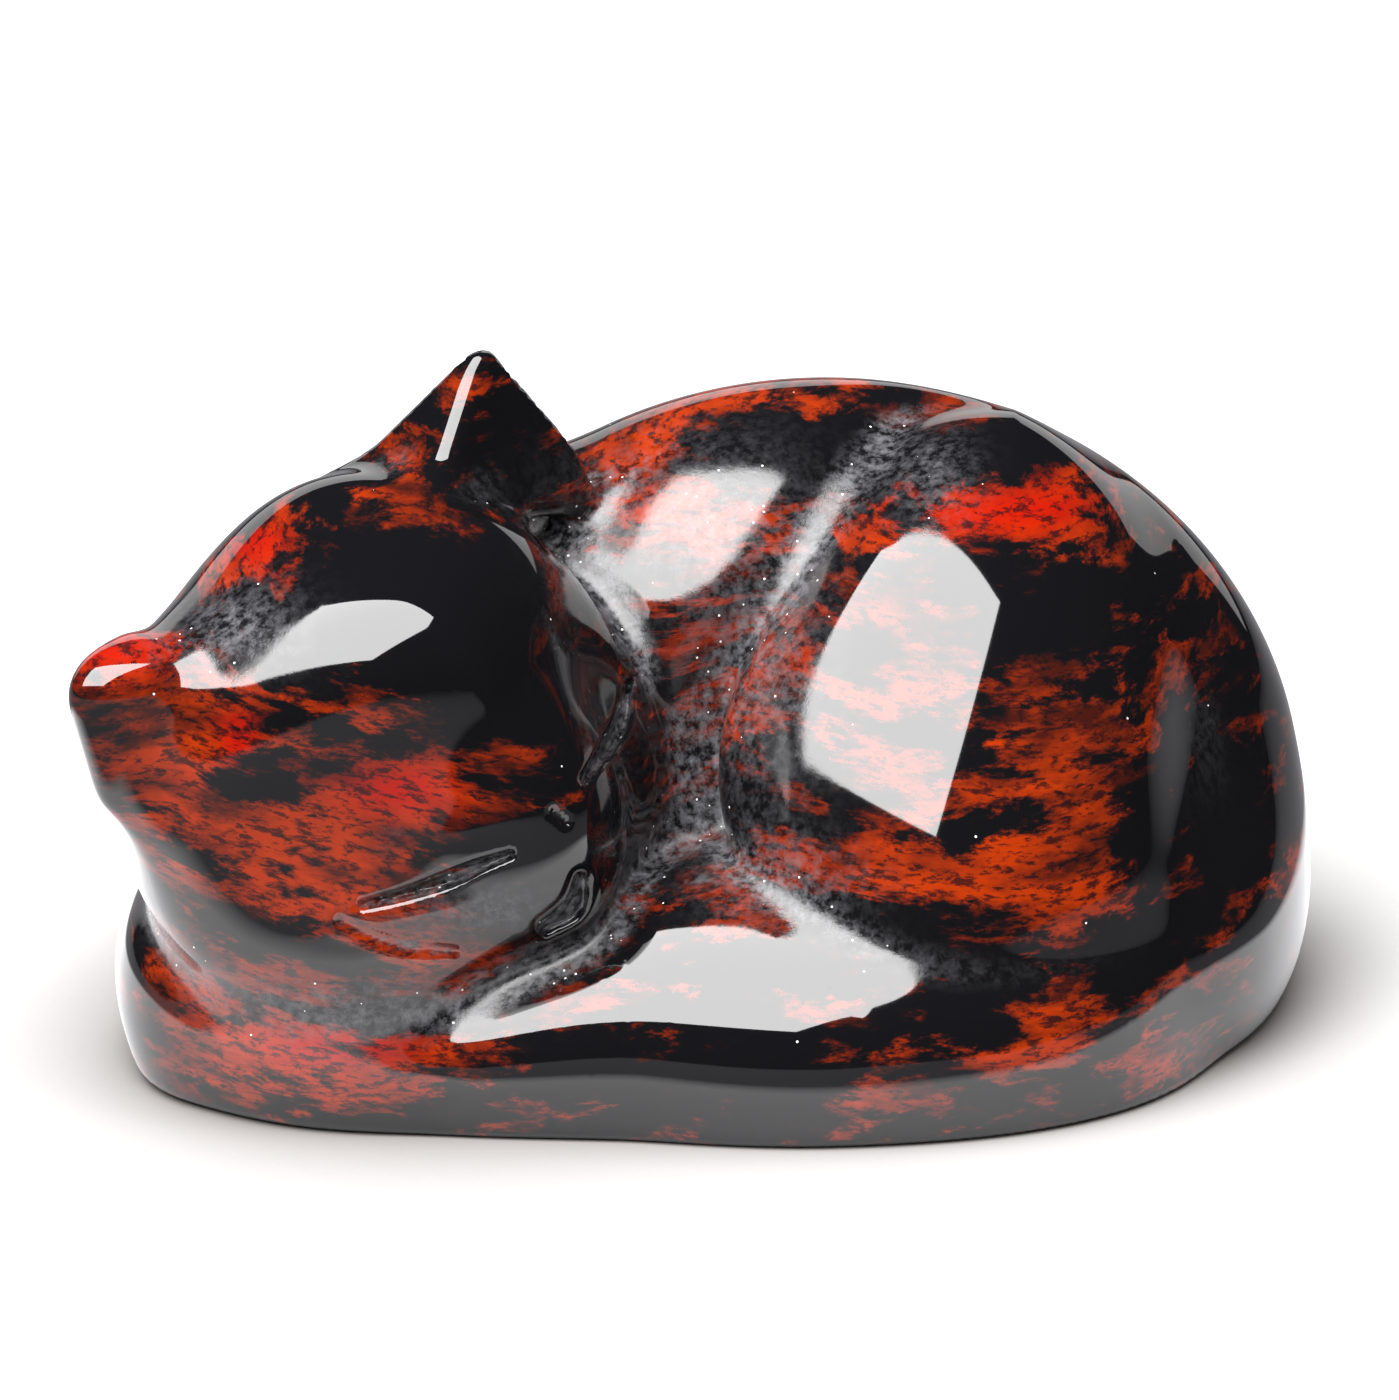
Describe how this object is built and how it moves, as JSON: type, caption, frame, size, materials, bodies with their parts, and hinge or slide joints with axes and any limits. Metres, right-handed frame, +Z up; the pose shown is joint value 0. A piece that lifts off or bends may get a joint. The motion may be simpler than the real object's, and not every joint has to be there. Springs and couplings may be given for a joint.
{
  "type": "cat figurine",
  "caption": "Small ornament of a curled-up sleeping cat, carved from one block of polished volcanic glass, with a flat base to stand on.",
  "frame": {"origin": "under the middle of the figure, on the plane of its flat base", "axes": "+X from the head towards the rump, +Y towards the cat's back, away from its face, +Z up"},
  "size_m": [0.0492, 0.0328, 0.0273],
  "materials": {
    "obsidian": "polished"
  },
  "bodies": {
    "root": {"carved_cat": "obsidian"}
  },
  "joints": []
}
